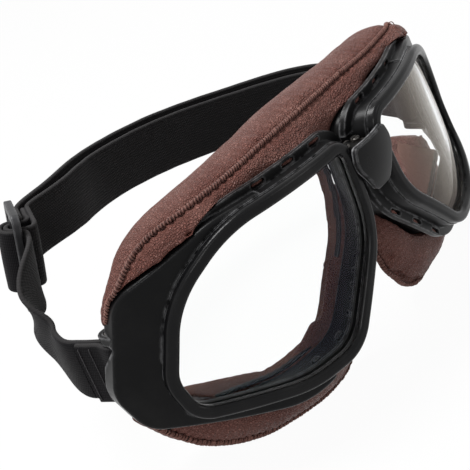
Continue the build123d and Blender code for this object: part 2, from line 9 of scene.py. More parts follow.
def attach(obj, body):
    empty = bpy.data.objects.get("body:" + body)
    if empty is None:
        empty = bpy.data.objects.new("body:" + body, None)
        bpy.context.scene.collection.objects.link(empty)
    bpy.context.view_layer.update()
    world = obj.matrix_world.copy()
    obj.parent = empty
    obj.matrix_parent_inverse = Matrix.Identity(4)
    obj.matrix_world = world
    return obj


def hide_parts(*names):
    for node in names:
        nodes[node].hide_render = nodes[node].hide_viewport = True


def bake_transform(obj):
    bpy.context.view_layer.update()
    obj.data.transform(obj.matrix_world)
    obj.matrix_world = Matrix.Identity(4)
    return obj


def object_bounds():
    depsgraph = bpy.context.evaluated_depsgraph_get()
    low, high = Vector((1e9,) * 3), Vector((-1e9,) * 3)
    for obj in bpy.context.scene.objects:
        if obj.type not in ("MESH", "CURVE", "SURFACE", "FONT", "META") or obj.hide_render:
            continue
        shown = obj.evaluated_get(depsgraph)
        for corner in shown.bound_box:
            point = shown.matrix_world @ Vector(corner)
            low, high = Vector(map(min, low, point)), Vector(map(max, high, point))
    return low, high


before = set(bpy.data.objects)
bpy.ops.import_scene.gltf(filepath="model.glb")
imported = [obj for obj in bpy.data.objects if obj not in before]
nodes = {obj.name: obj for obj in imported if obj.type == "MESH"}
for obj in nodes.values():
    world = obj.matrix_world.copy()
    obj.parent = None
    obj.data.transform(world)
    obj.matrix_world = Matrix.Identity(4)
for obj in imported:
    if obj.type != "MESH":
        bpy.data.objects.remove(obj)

cad_box = [list(corner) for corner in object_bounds()]
MM = 0.001
half_strap, strap_thickness = 10.25 * MM, 1.5 * MM
sides = ((1, "left"), (-1, "right"))

# Camera, from the photograph's own perspective
azimuth, elevation, roll = -0.759546, 0.478450, -0.358273
camera_place, sensor_width, focal_length, nearest = (-0.215594, -0.201827, 0.145836), 36.0, 78.41, 0.01
upward = Vector((0, 0, 1))
back = Vector((
    sin(azimuth) * cos(elevation), -cos(azimuth) * cos(elevation), sin(elevation),
))
level_right = (-back).cross(upward).normalized()
level_up = level_right.cross(-back)
right = level_right * cos(roll) + level_up * sin(roll)
up = level_up * cos(roll) - level_right * sin(roll)


# Hand tools
def added(operator, name, **settings):
    """A new object from an operator that adds one, with all else deselected first."""
    bpy.ops.object.select_all(action="DESELECT")
    operator(**settings)
    made = bpy.context.object
    made.name = name
    made.data.name = name
    return made


def alone(obj):
    """Makes this the only piece that operators work on."""
    bpy.ops.object.select_all(action="DESELECT")
    obj.select_set(True)
    bpy.context.view_layer.objects.active = obj


def settle(obj):
    """Puts the piece's place into its mesh."""
    alone(obj)
    bpy.ops.object.transform_apply(location=True, rotation=True, scale=True)


def turned_outward(obj, weld=None):
    """Turns all faces outward, after points nearer than the weld distance have become one."""
    alone(obj)
    bpy.ops.object.mode_set(mode="EDIT")
    bpy.ops.mesh.select_all(action="SELECT")
    if weld:
        bpy.ops.mesh.remove_doubles(threshold=weld)
    bpy.ops.mesh.normals_make_consistent(inside=False)
    bpy.ops.object.mode_set(mode="OBJECT")


def joined(parts, name):
    """Several meshes become one piece."""
    alone(parts[0])
    for part in parts:
        part.select_set(True)
    bpy.ops.object.join()
    piece = parts[0]
    piece.name = name
    piece.data.name = name
    return piece


def applied(obj, kind, **settings):
    """Adds one modifier with its settings and applies it."""
    alone(obj)
    modifier = obj.modifiers.new(kind.title(), kind)
    for key, value in settings.items():
        setattr(modifier, key, value)
    bpy.ops.object.modifier_apply(modifier=modifier.name)


def surface_of(obj):
    """The piece's surface for nearest-point questions."""
    return BVHTree.FromObject(obj, bpy.context.evaluated_depsgraph_get())


def points_of(obj):
    """The piece's points, each with its normal as it was before any of them moved."""
    return list(zip(obj.data.vertices, [vertex.normal.copy() for vertex in obj.data.vertices]))


def clipped(value):
    """The value held between 0 and 1."""
    return max(0.0, min(1.0, value))


def wear_finish(obj, *finishes):
    """Gives the piece its finishes, one slot each."""
    obj.data.materials.clear()
    for finish in finishes:
        obj.data.materials.append(finish)
    return obj


camera = added(bpy.ops.object.camera_add, "photo_camera")
camera.matrix_world = Matrix.Translation(camera_place) @ Matrix((right, up, back)).transposed().to_4x4()
camera.data.sensor_width = sensor_width
camera.data.lens = focal_length
camera.data.clip_start = nearest
bpy.context.scene.camera = camera


# Finishes: shared effects
def effect(name, inputs, outputs):
    """A shader node group with named numbers going in and coming out."""
    group = bpy.data.node_groups.new(name, "ShaderNodeTree")
    for label, value in inputs.items():
        socket = group.interface.new_socket(label, in_out="INPUT", socket_type="NodeSocketFloat")
        socket.default_value = value
    for label in outputs:
        group.interface.new_socket(label, in_out="OUTPUT", socket_type="NodeSocketFloat")
    return group, group.nodes.new("NodeGroupInput").outputs, group.nodes.new("NodeGroupOutput")


def given(group, out, **values):
    """What the shared effect gives out, and the effect itself."""
    for label, value in values.items():
        group.links.new(value, out.inputs[label])
    return group


def add_node(tree, kind, **values):
    """A node with its settings; a name that starts with in_ is an input, set to a value or joined to an output."""
    node = tree.nodes.new(kind)
    for key, value in values.items():
        socket = key[3:].replace("_", " ")
        if not key.startswith("in_"):
            setattr(node, key, value)
        elif isinstance(value, bpy.types.NodeSocket):
            tree.links.new(value, node.inputs[socket])
        else:
            node.inputs[socket].default_value = value
    return node


def maths(tree, operation, first, second=None, clamp=False):
    """A Math node on two sockets or numbers."""
    node = add_node(tree, "ShaderNodeMath", operation=operation, use_clamp=clamp)
    for i, value in enumerate((first, second)):
        if value is None:
            continue
        if isinstance(value, (int, float)):
            node.inputs[i].default_value = value
        else:
            tree.links.new(value, node.inputs[i])
    return node.outputs[0]


def ramp(tree, value, low, high):
    """A smooth step from low to high."""
    node = add_node(
        tree, "ShaderNodeMapRange", interpolation_type="SMOOTHSTEP", in_Value=value, in_From_Min=low, in_From_Max=high
    )
    return node.outputs["Result"]


def inverse(tree, value):
    """What is left of one."""
    return maths(tree, "SUBTRACT", 1.0, value)


def scaled(tree, value, by, clamp=False):
    """One value times another."""
    return maths(tree, "MULTIPLY", value, by, clamp)


def own_place(tree):
    """The place in the object's own coordinates, in metres."""
    return tree.nodes.new("ShaderNodeTexCoord").outputs["Object"]


def place_noise(tree, scale, detail=3.0, rough=0.55, stretch=None):
    """Noise in the object's own coordinates, in waves to the metre."""
    where = own_place(tree)
    if stretch:
        where = add_node(tree, "ShaderNodeMapping", in_Vector=where, in_Scale=stretch).outputs["Vector"]
    node = add_node(tree, "ShaderNodeTexNoise", in_Vector=where, in_Scale=scale, in_Detail=detail, in_Roughness=rough)
    return node.outputs["Fac"]


def make_grain():
    """Leather grain: small irregular cells, with fine creases between larger folds."""
    group, here, out = effect("leather_grain", {"Cell": 900.0, "Crease": 0.5}, ("Height", "Mottle", "Pore"))
    where = own_place(group)
    wobble = add_node(group, "ShaderNodeTexNoise", in_Vector=where, in_Scale=260.0, in_Detail=2.0)
    push = add_node(group, "ShaderNodeVectorMath", operation="MULTIPLY_ADD")
    push.inputs[1].default_value = (1.6 * MM,) * 3
    group.links.new(wobble.outputs["Color"], push.inputs[0])
    group.links.new(where, push.inputs[2])
    cells = add_node(
        group, "ShaderNodeTexVoronoi", feature="DISTANCE_TO_EDGE", in_Vector=push.outputs[0], in_Scale=here["Cell"]
    )
    pebble = ramp(group, cells.outputs["Distance"], 0.0, 0.32)
    fold = place_noise(group, 240.0, 4.0, 0.6)
    crease = ramp(group, maths(group, "ABSOLUTE", maths(group, "SUBTRACT", fold, 0.5)), 0.0, 0.05)
    crease = scaled(group, inverse(group, crease), here["Crease"])
    height = maths(group, "SUBTRACT", pebble, crease)
    mottle = place_noise(group, 60.0, 5.0, 0.6)
    return given(group, out, Height=height, Mottle=mottle, Pore=inverse(group, pebble))


def make_edge_wear():
    """Paler edges, partly rubbed finish and partly a painted highlight: where the bevelled normal leaves the real one.
    """
    group, here, out = effect("edge_rub_and_highlight", {"Amount": 0.5}, ("Mask",))
    bevel = add_node(group, "ShaderNodeBevel", samples=6, in_Radius=1.1 * MM)
    plain = group.nodes.new("ShaderNodeNewGeometry").outputs["Normal"]
    dot = add_node(group, "ShaderNodeVectorMath", operation="DOT_PRODUCT")
    group.links.new(bevel.outputs["Normal"], dot.inputs[0])
    group.links.new(plain, dot.inputs[1])
    edge = ramp(group, inverse(group, dot.outputs["Value"]), 0.006, 0.09)
    rubbed = ramp(group, place_noise(group, 420.0, 4.0), 0.32, 0.62)
    return given(group, out, Mask=scaled(group, scaled(group, edge, rubbed), here["Amount"], clamp=True))


def make_dust():
    """A few pale specks and a faint bloom."""
    group, here, out = effect("dust", {"Amount": 0.5}, ("Mask",))
    dots = add_node(group, "ShaderNodeTexVoronoi", in_Vector=own_place(group), in_Scale=420.0)
    speck = inverse(group, ramp(group, dots.outputs["Distance"], 0.04, 0.075))
    few = ramp(group, place_noise(group, 150.0, 2.0), 0.56, 0.64)
    bloom = scaled(group, ramp(group, place_noise(group, 45.0, 5.0), 0.45, 0.85), 0.35)
    mask = maths(group, "ADD", scaled(group, speck, few), bloom)
    return given(group, out, Mask=scaled(group, mask, here["Amount"], clamp=True))


def make_weave():
    """Elastic webbing on a map laid out in metres: ribs along it, picks across, pale edges."""
    group, here, out = effect("webbing_weave", {"Rib": 1.1 * MM, "Pick": 0.7 * MM}, ("Height", "Yarn", "Selvage"))
    laid = add_node(group, "ShaderNodeUVMap", uv_map="UVMap").outputs["UV"]
    split = add_node(group, "ShaderNodeSeparateXYZ", in_Vector=laid)
    along, across = split.outputs["X"], split.outputs["Y"]
    rib = scaled(group, maths(group, "DIVIDE", across, here["Rib"]), 2 * pi)
    pick = scaled(group, maths(group, "DIVIDE", along, here["Pick"]), 2 * pi)
    shifted = maths(group, "ADD", pick, scaled(group, rib, 0.5))
    rib_wave, pick_wave = (
        maths(group, "ABSOLUTE", maths(group, "SINE", scaled(group, turn, 0.5))) for turn in (rib, shifted)
    )
    rib_wave = maths(group, "POWER", rib_wave, 0.6)
    height = maths(group, "ADD", scaled(group, rib_wave, 0.75), scaled(group, pick_wave, 0.35))
    from_edge = maths(group, "SUBTRACT", half_strap, maths(group, "ABSOLUTE", across))
    pale_edge = inverse(group, ramp(group, from_edge, 0.2 * MM, 0.7 * MM))
    return given(group, out, Height=height, Yarn=scaled(group, rib_wave, pick_wave), Selvage=pale_edge)


grain = make_grain()
edge_rub_and_highlight = make_edge_wear()
dust = make_dust()
weave = make_weave()


def use(tree, group, **values):
    """Places one shared effect in a material and gives its outputs."""
    return add_node(tree, "ShaderNodeGroup", node_tree=group, **values).outputs


def new_finish(name, **values):
    """A material with its shader's plain values set on the shader's own sockets."""
    finish = bpy.data.materials.new(name)
    finish.use_nodes = True
    tree = finish.node_tree
    shader = tree.nodes["Principled BSDF"]
    for key, value in values.items():
        shader.inputs[key.replace("_", " ")].default_value = value
    return finish, tree, shader


def tint(tree, factor, low, high):
    """A colour between two by a mask, or one laid over another socket's colour."""
    low = low if isinstance(low, bpy.types.NodeSocket) else (*low, 1)
    node = add_node(tree, "ShaderNodeMix", data_type="RGBA", in_Factor=factor, in_A=low, in_B=(*high, 1))
    return node.outputs["Result"]


def spread(tree, factor, low, high):
    """A number between two, by a mask."""
    return add_node(tree, "ShaderNodeMapRange", in_Value=factor, in_To_Min=low, in_To_Max=high).outputs["Result"]


def dressed(tree, shader, colour, rough, height=None, distance=0.0, strength=1.0):
    """Joins a colour, a roughness and the bump from a height to the shader."""
    tree.links.new(colour, shader.inputs["Base Color"])
    tree.links.new(rough, shader.inputs["Roughness"])
    if height is None:
        return
    bump = add_node(tree, "ShaderNodeBump", in_Strength=strength, in_Distance=distance, in_Height=height)
    tree.links.new(bump.outputs["Normal"], shader.inputs["Normal"])


def dusted(tree, colour, amount, share, pale):
    """The colour with specks of pale dust on it."""
    specks = use(tree, dust, in_Amount=amount)["Mask"]
    return tint(tree, scaled(tree, specks, share), colour, pale)


def seen_direct(tree):
    """One where a ray comes from the camera, a mirror or a lens."""
    rays = tree.nodes.new("ShaderNodeLightPath")
    seen = maths(tree, "MAXIMUM", rays.outputs["Is Camera Ray"], rays.outputs["Is Glossy Ray"])
    return maths(tree, "MAXIMUM", seen, rays.outputs["Is Transmission Ray"])


def mixed(tree, factor, first, second, out):
    """Two shaders mixed by a mask, on the way out."""
    mix = tree.nodes.new("ShaderNodeMixShader")
    tree.links.new(factor, mix.inputs["Fac"])
    tree.links.new(first, mix.inputs[1])
    tree.links.new(second, mix.inputs[2])
    tree.links.new(mix.outputs["Shader"], out.inputs["Surface"])


def moulded_black(name, shade, rubbed_and_highlight_colour, rough, shine, rubbed_and_highlight_amount):
    """Satin black plastic or enamel with paler edges (rubbed, and a painted highlight), faint mottling and a few specks
    of dust.
    """
    finish, tree, shader = new_finish(name, Specular_IOR_Level=shine)
    mottle = place_noise(tree, 70.0, 5.0)
    colour = tint(tree, mottle, [c * 0.8 for c in shade], [c * 1.2 for c in shade])
    # The edge mask lightens the edges: partly rubbed finish, partly a painted highlight along them.
    edge = use(tree, edge_rub_and_highlight, in_Amount=rubbed_and_highlight_amount)["Mask"]
    colour = dusted(tree, tint(tree, edge, colour, rubbed_and_highlight_colour), 0.5, 0.22, (0.30, 0.29, 0.28))
    rough = spread(tree, mottle, rough - 0.06, rough + 0.08)
    dressed(tree, shader, colour, rough, place_noise(tree, 2600.0, 2.0), 0.02 * MM, 0.6)
    return finish


def leather(name, shade, light, dark, crease, rough, cell, depth):
    """Soft grained leather: pebbled, darker in the pores and paler where it is rubbed."""
    finish, tree, shader = new_finish(name, Specular_IOR_Level=0.20)
    skin = use(tree, grain, in_Cell=cell, in_Crease=crease)
    colour = tint(tree, ramp(tree, skin["Mottle"], 0.3, 0.75), shade, light)
    colour = tint(tree, scaled(tree, skin["Pore"], 0.55), colour, dark)
    colour = dusted(tree, colour, 0.3, 0.12, (0.42, 0.30, 0.25))
    rough = spread(tree, skin["Pore"], rough, rough + 0.22)
    dressed(tree, shader, colour, rough, skin["Height"], depth, 0.8)
    return finish


def webbing(name, shade, pale, rib, pick, depth):
    """Black elastic webbing, paler towards its edges."""
    finish, tree, shader = new_finish(name, Specular_IOR_Level=0.10, Sheen_Weight=0.04, Sheen_Roughness=0.4)
    cloth = use(tree, weave, in_Rib=rib, in_Pick=pick)
    colour = tint(tree, cloth["Yarn"], [c * 0.45 for c in shade], [c * 1.5 for c in shade])
    # The web is made paler towards its edges.
    colour = tint(tree, scaled(tree, cloth["Selvage"], 0.6), colour, pale)
    colour = dusted(tree, colour, 0.5, 0.12, (0.25, 0.24, 0.24))
    dressed(tree, shader, colour, spread(tree, cloth["Yarn"], 0.90, 0.72), cloth["Height"], depth, 0.9)
    return finish


def metal(name, shade, rubbed_and_highlight_colour, rough, rubbed_and_highlight_amount=0.7):
    """Dark metal, brushed a little, with bright edges that are partly rubbed and partly a painted highlight."""
    finish, tree, shader = new_finish(name, Metallic=0.85, Specular_IOR_Level=0.4)
    edge = use(tree, edge_rub_and_highlight, in_Amount=rubbed_and_highlight_amount)["Mask"]
    brush = place_noise(tree, 900.0, 4.0, 0.6, (0.08, 1.0, 1.0))
    colour = tint(tree, brush, [c * 0.8 for c in shade], [c * 1.25 for c in shade])
    # Bright edges: partly rubbed metal, partly a painted highlight.
    colour = tint(tree, edge, colour, rubbed_and_highlight_colour)
    rough = spread(tree, brush, rough - 0.08, rough + 0.12)
    dressed(tree, shader, colour, rough, brush, 0.02 * MM, 0.5)
    return finish


def clear_lens(name):
    """Clear bowed lens: glass that lets the studio light straight through to the pads."""
    finish, tree, shader = new_finish(
        name, Base_Color=(0.985, 0.99, 0.988, 1), Roughness=0.015, IOR=1.13, Transmission_Weight=1.0,
        Thin_Film_Thickness=330.0, Thin_Film_IOR=1.15,
    )
    smear = place_noise(tree, 55.0, 4.0)
    tree.links.new(spread(tree, ramp(tree, smear, 0.5, 0.9), 0.012, 0.07), shader.inputs["Roughness"])
    through = add_node(tree, "ShaderNodeBsdfTransparent", in_Color=(0.96, 0.97, 0.97, 1))
    rays = tree.nodes.new("ShaderNodeLightPath")
    soft = maths(tree, "MAXIMUM", rays.outputs["Is Shadow Ray"], rays.outputs["Is Diffuse Ray"])
    mixed(tree, soft, shader.outputs["BSDF"], through.outputs["BSDF"], tree.nodes["Material Output"])
    return finish


def thread(name, mottle, dark, light, rough, sheen=0.0):
    """Waxed thread, mottled by one noise and rough by a finer one."""
    finish, tree, shader = new_finish(name, Specular_IOR_Level=0.3, Sheen_Weight=sheen)
    rough = spread(tree, place_noise(tree, 2500.0), rough, rough + 0.25)
    dressed(tree, shader, tint(tree, mottle(tree), dark, light), rough)
    return finish


# For the blacks and metals below, the second colour is the edges' colour: partly rubbed finish, partly a painted
# highlight, brightest on the enamel cover.
frame_black = moulded_black("satin_black_frame", (0.0040, 0.0040, 0.0044), (0.16, 0.16, 0.165), 0.30, 0.10, 0.8)
rim_black = moulded_black("satin_black_rim", (0.0042, 0.0042, 0.0047), (0.15, 0.15, 0.155), 0.24, 0.13, 0.7)
shield_black = moulded_black("black_enamel", (0.0060, 0.0060, 0.0065), (0.30, 0.30, 0.31), 0.28, 0.12, 1.0)
facing_black = moulded_black("black_facing", (0.0060, 0.0060, 0.0064), (0.05, 0.05, 0.05), 0.34, 0.22, 0.2)
gasket_black = moulded_black("black_gasket", (0.010, 0.010, 0.010), (0.03, 0.03, 0.03), 0.6, 0.2, 0.2)
slider_grey = metal("dark_grey_slider", (0.040, 0.040, 0.042), (0.16, 0.16, 0.165), 0.42)
black_steel = metal("blackened_steel", (0.035, 0.034, 0.033), (0.28, 0.26, 0.24), 0.38)
brown_leather = leather(
    "brown_leather", (0.185, 0.070, 0.055), (0.290, 0.134, 0.108), (0.050, 0.016, 0.012), 0.9, 0.36, 1300.0, 0.55 * MM
)
welt_leather = leather(
    "welt_leather", (0.070, 0.026, 0.020), (0.110, 0.042, 0.032), (0.020, 0.008, 0.006), 0.3, 0.5, 1500.0, 0.1 * MM
)
lining_leather = leather(
    "lining_leather", (0.130, 0.060, 0.045), (0.200, 0.100, 0.075), (0.055, 0.025, 0.018), 0.2, 0.6, 1200.0, 0.1 * MM
)
brown_thread = thread(
    "brown_thread", lambda tree: ramp(tree, place_noise(tree, 700.0), 0.3, 0.7),
    (0.130, 0.052, 0.040), (0.230, 0.105, 0.082), 0.55, 0.2,
)
black_thread = thread(
    "black_thread", lambda tree: place_noise(tree, 900.0), (0.012, 0.011, 0.012), (0.05, 0.047, 0.05), 0.5
)
smooth_webbing = webbing(
    "smooth_webbing", (0.0095, 0.0088, 0.0100), (0.050, 0.048, 0.051), 0.9 * MM, 0.6 * MM, 0.08 * MM
)
ribbed_webbing = webbing(
    "ribbed_webbing", (0.0125, 0.0118, 0.0122), (0.055, 0.053, 0.054), 1.0 * MM, 0.7 * MM, 0.15 * MM
)
lens_glass = clear_lens("clear_lens")

finish_of = {
    "eyecup": frame_black, "rim": rim_black, "lens": lens_glass, "lens_gasket": gasket_black, "pad_studs": shield_black,
    "strap_bar": black_steel, "lining": lining_leather, "bridge_bracket": black_steel, "bridge_cover": shield_black,
    "bridge_screws": black_steel, "slider": slider_grey,
}
for ending, finish in finish_of.items():
    for name in (ending, "right_" + ending, "left_" + ending):
        if name in nodes:
            wear_finish(nodes[name], finish)


# Smooth lines
line_step, line_rounds, fine_share = 0.5 * MM, 60, 0.4


def fine_line(spots, first_way=None, last_way=None, counts=None, step=line_step):
    """Points on one smooth curve through the spots, with a set number or an even step between two spots."""
    gaps = [(b - a).length for a, b in zip(spots, spots[1:])]
    ways = [Vector((0, 0, 0))] * len(spots)
    ways[0] = Vector(first_way).normalized() if first_way else (spots[1] - spots[0]).normalized()
    ways[-1] = Vector(last_way).normalized() if last_way else (spots[-1] - spots[-2]).normalized()
    for turn in range(line_rounds):
        for i in range(1, len(spots) - 1):
            g, h = gaps[i - 1], gaps[i]
            pull = 3 * (h * (spots[i] - spots[i - 1]) / g + g * (spots[i + 1] - spots[i]) / h)
            ways[i] = (pull - h * ways[i - 1] - g * ways[i + 1]) / (2 * (g + h))
    fine = []
    for i, gap in enumerate(gaps):
        count = counts or max(4, int(gap / (step * fine_share)))
        for k in range(count):
            t = k / count
            t2, t3 = t * t, t * t * t
            fine.append(
                spots[i] * (2 * t3 - 3 * t2 + 1) + ways[i] * gap * (t3 - 2 * t2 + t)
                + spots[i + 1] * (3 * t2 - 2 * t3) + ways[i + 1] * gap * (t3 - t2)
            )
    fine.append(spots[-1])
    return fine


def smooth_line(spots, first_way=None, last_way=None, step=line_step):
    """Points an even step apart on one smooth line through the spots."""
    fine = fine_line(spots, first_way, last_way, None, step)
    reach = [0.0]
    for a, b in zip(fine, fine[1:]):
        reach.append(reach[-1] + (b - a).length)
    count = max(2, round(reach[-1] / step))
    points, k = [], 0
    for i in range(count + 1):
        goal = reach[-1] * i / count
        while k < len(reach) - 2 and reach[k + 1] < goal:
            k += 1
        part = (goal - reach[k]) / max(reach[k + 1] - reach[k], 1e-12)
        points.append(fine[k].lerp(fine[k + 1], part))
    return points


def ways_along(line):
    """The direction of the line at each of its points."""
    last = len(line) - 1
    return [(line[min(i + 1, last)] - line[max(i - 1, 0)]).normalized() for i in range(last + 1)]


# Straps: a flat elastic web with soft edges, its pattern laid along it
strap_faces = (smooth_webbing, ribbed_webbing, ribbed_webbing)
flat_spots, edge_spots = 11, 4
edge_share, edge_in = 0.32, 0.35
strap_crown, strap_unevenness, unevenness_waves = 0.18 * MM, 0.12 * MM, 160


def strap_section():
    """The web's outline: its upper face, one edge, its lower face and the other edge."""
    half, thick = half_strap, strap_thickness
    rim = thick * edge_share
    flat = [((-1 + 2 * k / (flat_spots - 1)) * (half - rim), thick / 2) for k in range(flat_spots)]
    inner = half - rim * edge_in
    edge = [(inner, thick * 0.40), (half, thick * 0.12), (half, -thick * 0.12), (inner, -thick * 0.40)]
    half_ring = flat + edge
    return half_ring + [(-x, -y) for x, y in half_ring]


def web(name, line, across, finishes, reach):
    """One length of webbing along a line; across is the direction of its width at each point."""
    ways = ways_along(line)
    ring = strap_section()
    count = len(ring)
    piece = added(
        bpy.ops.mesh.primitive_grid_add, name, x_subdivisions=count, y_subdivisions=len(line) - 1, size=2
    )
    mesh = piece.data
    verts = mesh.vertices
    row = count + 1
    for j in range(len(line)):
        way = ways[j]
        wide = (across[j] - way * across[j].dot(way)).normalized()
        out = wide.cross(way)
        wave = strap_unevenness * noise(line[j] * unevenness_waves)
        for k in range(row):
            x, y = ring[k % count]
            crown = strap_crown * (1 - (x / half_strap) ** 2) * (1 if y > 0 else -0.4)
            verts[j * row + k].co = line[j] + wide * (x + wave * x / half_strap) + out * (y + crown)
    sheet = mesh.uv_layers.active or mesh.uv_layers.new(name="UVMap")
    sheet.name = "UVMap"
    step = (line[1] - line[0]).length
    for face in mesh.polygons:
        for loop, corner in zip(face.loop_indices, face.vertices):
            j, k = divmod(corner, row)
            sheet.data[loop].uv = (reach + j * step, ring[k % count][0])
    wear_finish(piece, *finishes)
    lower = flat_spots + edge_spots
    for face in mesh.polygons:
        k = min(corner % row for corner in face.vertices)
        face.material_index = 0 if k < flat_spots - 1 else (1 if lower <= k + 1 < lower + flat_spots else 2)
    alone(piece)
    bpy.ops.object.mode_set(mode="EDIT")
    bpy.ops.mesh.select_all(action="SELECT")
    bpy.ops.mesh.remove_doubles(threshold=0.000005)
    bpy.ops.mesh.select_all(action="DESELECT")
    bpy.ops.mesh.select_non_manifold()
    bpy.ops.mesh.edge_face_add()
    bpy.ops.object.mode_set(mode="OBJECT")
    turned_outward(piece)
    bpy.ops.object.shade_smooth_by_angle(angle=radians(50))
    return piece


bar_reach, bar_setback, bar_drop, loop_splay = 81.6 * MM, 0.9 * MM, 5.0 * MM, 15
loop_radius, fine_step, run_step = 2.42, 0.45 * MM, 0.9 * MM
inner_leg, inner_leg_end, stiff_share = -0.78, 14.0, 0.2


def loop_frame(side):
    """The middle, the rearward and the sideways direction of one end loop."""
    angle = radians(90 - side * loop_splay)
    along = Vector((cos(angle), sin(angle), 0))
    return Vector((side * bar_reach, -bar_setback, -bar_drop)), along, Vector((-along.y, along.x, 0))


def loop_spot(side, distance, outward):
    """A point behind an end loop, in millimetres."""
    middle, along, sideways = loop_frame(side)
    return middle + along * (distance * MM) + sideways * (-side * outward * MM)


def round_spots(radius, angles):
    """Spots on a circle round a bar, in millimetres."""
    return [(radius * cos(radians(angle)), radius * sin(radians(angle))) for angle in angles]


def strap_piece(name, line, across, finishes, node, bodies, reach=0.0):
    """A length of webbing, which hides the CAD node it stands for and is attached to its body; one that spans two
    bodies stays unattached.
    """
    piece = web(name, line, across, finishes, reach)
    if node:
        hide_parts(node)
    if len(bodies) == 1:
        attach(piece, bodies[0])
    else:
        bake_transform(piece)


def end_loop_web(side, label):
    """The strap's end: in from behind, round the bar and back along itself."""
    spots = [(inner_leg_end, inner_leg), (10.0, inner_leg), (6.5, -0.8), (4.2, -1.0), (2.4, -1.75)]
    spots += round_spots(loop_radius, (-60, -95, -130, -165, -200, -235, -270, -300))
    spots += [(2.6, 1.50), (4.2, 0.90), (6.5, 0.80), (9.0, 0.80), (11.8, 0.80)]
    line = smooth_line([loop_spot(side, x, y) for x, y in spots], step=fine_step)
    faces = (smooth_webbing, smooth_webbing, ribbed_webbing)
    strap_piece(label + "_loop_webbing", line, [upward] * len(line), faces, label + "_end_loop", [label + "_loop"])


# The slider's own frame
slider_middle = Vector((-64.2, 51.0, 16.0)) * MM
slider_angle, slider_lean = 58, 14
slider_way = Vector((cos(radians(slider_angle)), sin(radians(slider_angle)), 0))
slider_inward = Vector((-slider_way.y, slider_way.x, 0))
slider_up = upward * cos(radians(slider_lean)) - slider_inward * sin(radians(slider_lean))
slider_out = slider_up.cross(slider_way)


def slider_spot(along, outward):
    """A point of the slider's own frame, in millimetres."""
    return slider_middle + slider_way * (along * MM) + slider_out * (outward * MM)


strap_span = (bar_reach, 68.0 * MM, 16.0 * MM)


def run_line(start, shares, end, first_way, last_way, leans):
    """A strap's line, the direction of its width, leaning as it goes, and the number of the point at each spot."""
    spots = [start] + [Vector([share * size for share, size in zip(spot, strap_span)]) for spot in shares] + [end]
    line = smooth_line(spots, first_way, last_way, run_step)
    across = []
    ways = ways_along(line)
    ways[0], ways[-1] = first_way, last_way
    for i, way in enumerate(ways):
        at = i / (len(line) - 1) * (len(leans) - 1)
        before = min(int(at), len(leans) - 2)
        lean = leans[before] + (leans[before + 1] - leans[before]) * (at - before)
        level = (upward - way * upward.dot(way)).normalized()
        across.append(Matrix.Rotation(radians(lean), 3, way) @ level)
    return line, across, [min(range(len(line)), key=lambda k: (line[k] - spot).length) for spot in spots]


def cut_web(name, line, across, a, b, node, *bodies):
    """One length of a run between two of its points."""
    step = (line[1] - line[0]).length
    strap_piece(name, line[a:b + 1], across[a:b + 1], strap_faces, node, bodies, a * step)


# Pads: each station is along, deep, high, depth, rise, the turn of its section and how its rise falls off
pad_reach, pad_depth, pad_rise, eye_rise = 84.0 * MM, 13.5 * MM, 12.0 * MM, 25.0 * MM
brow_stations = [
    (0.00, -0.99, 0.96, 1.00, 0.97, 0, 0.14),
    (0.28, -1.01, 0.97, 1.03, 0.90, 0, 0.18),
    (0.56, -0.92, 0.95, 1.03, 0.82, 5, 0.12),
    (0.77, -0.66, 0.90, 0.92, 0.70, 16, 0.46),
    (0.863, -0.46, 0.75, 0.60, 0.50, 34, 0.50),
    (0.935, -0.27, 0.56, 0.40, 0.31, 60, 0.50),
    (0.955, -0.16, 0.38, 0.30, 0.22, 80, 0.30),
]
cheek_stations = [
    (0.945, 0.10, -0.86, 0.52, 0.40, 116, 0.00),
    (0.865, -0.20, -1.12, 0.80, 0.64, 146, 0.05),
    (0.70, -0.66, -1.40, 1.04, 0.90, 168, 0.15),
    (0.49, -1.10, -1.50, 1.12, 1.04, 184, 0.35),
    (0.305, -1.30, -1.38, 1.04, 1.38, 212, 0.50),
    (0.188, -1.34, -0.94, 0.98, 1.10, 236, 0.60),
    (0.125, -1.28, -0.36, 1.00, 0.80, 248, 0.60),
    (0.085, -1.16, 0.16, 1.00, 0.46, 256, 0.40),
]


welt_deep, welt_out = -0.56, 0.95


def in_section(station, d, r):
    """How deep and how far out a spot of the section lies, from its shares of the depth and the rise."""
    depth, rise, turn, fall = station[3:]
    left_over = 1 - fall * (d + 1) / 2 if r > 0 else 1
    return d * depth * pad_depth, r * left_over * rise * pad_rise


def at_station(station, deeper, out):
    """A spot of the section in its place on the pad."""
    along, deep, high, depth, rise, turn, fall = station
    way = radians(turn)
    return Vector((along * pad_reach + sin(way) * out, deep * pad_depth + deeper, high * eye_rise + cos(way) * out))


def to_side(stations, side):
    """The stations on their own side, or mirrored to the other."""
    return [(side * a, b, c, d, e, side * t, f) for a, b, c, d, e, t, f in stations]


def welt_spots(stations):
    """Where the sewn welt runs, station by station."""
    return [at_station(station, *in_section(station, welt_deep, welt_out)) for station in stations]


def start_from(node, name):
    """A closed copy of a CAD node's shape as a new piece."""
    piece = bpy.data.objects.new(name, nodes[node].data.copy())
    piece.data.name = name
    bpy.context.scene.collection.objects.link(piece)
    turned_outward(piece, weld=0.02 * MM)
    return piece


section_shares = [
    (-0.80, -0.70), (-1.00, 0.05), (-0.64, 0.80), (-0.585, 0.845), (-0.44, 0.93), (0.18, 1.02), (0.80, 0.62),
    (1.00, 0.00), (0.80, -0.70), (0.00, -0.84),
]


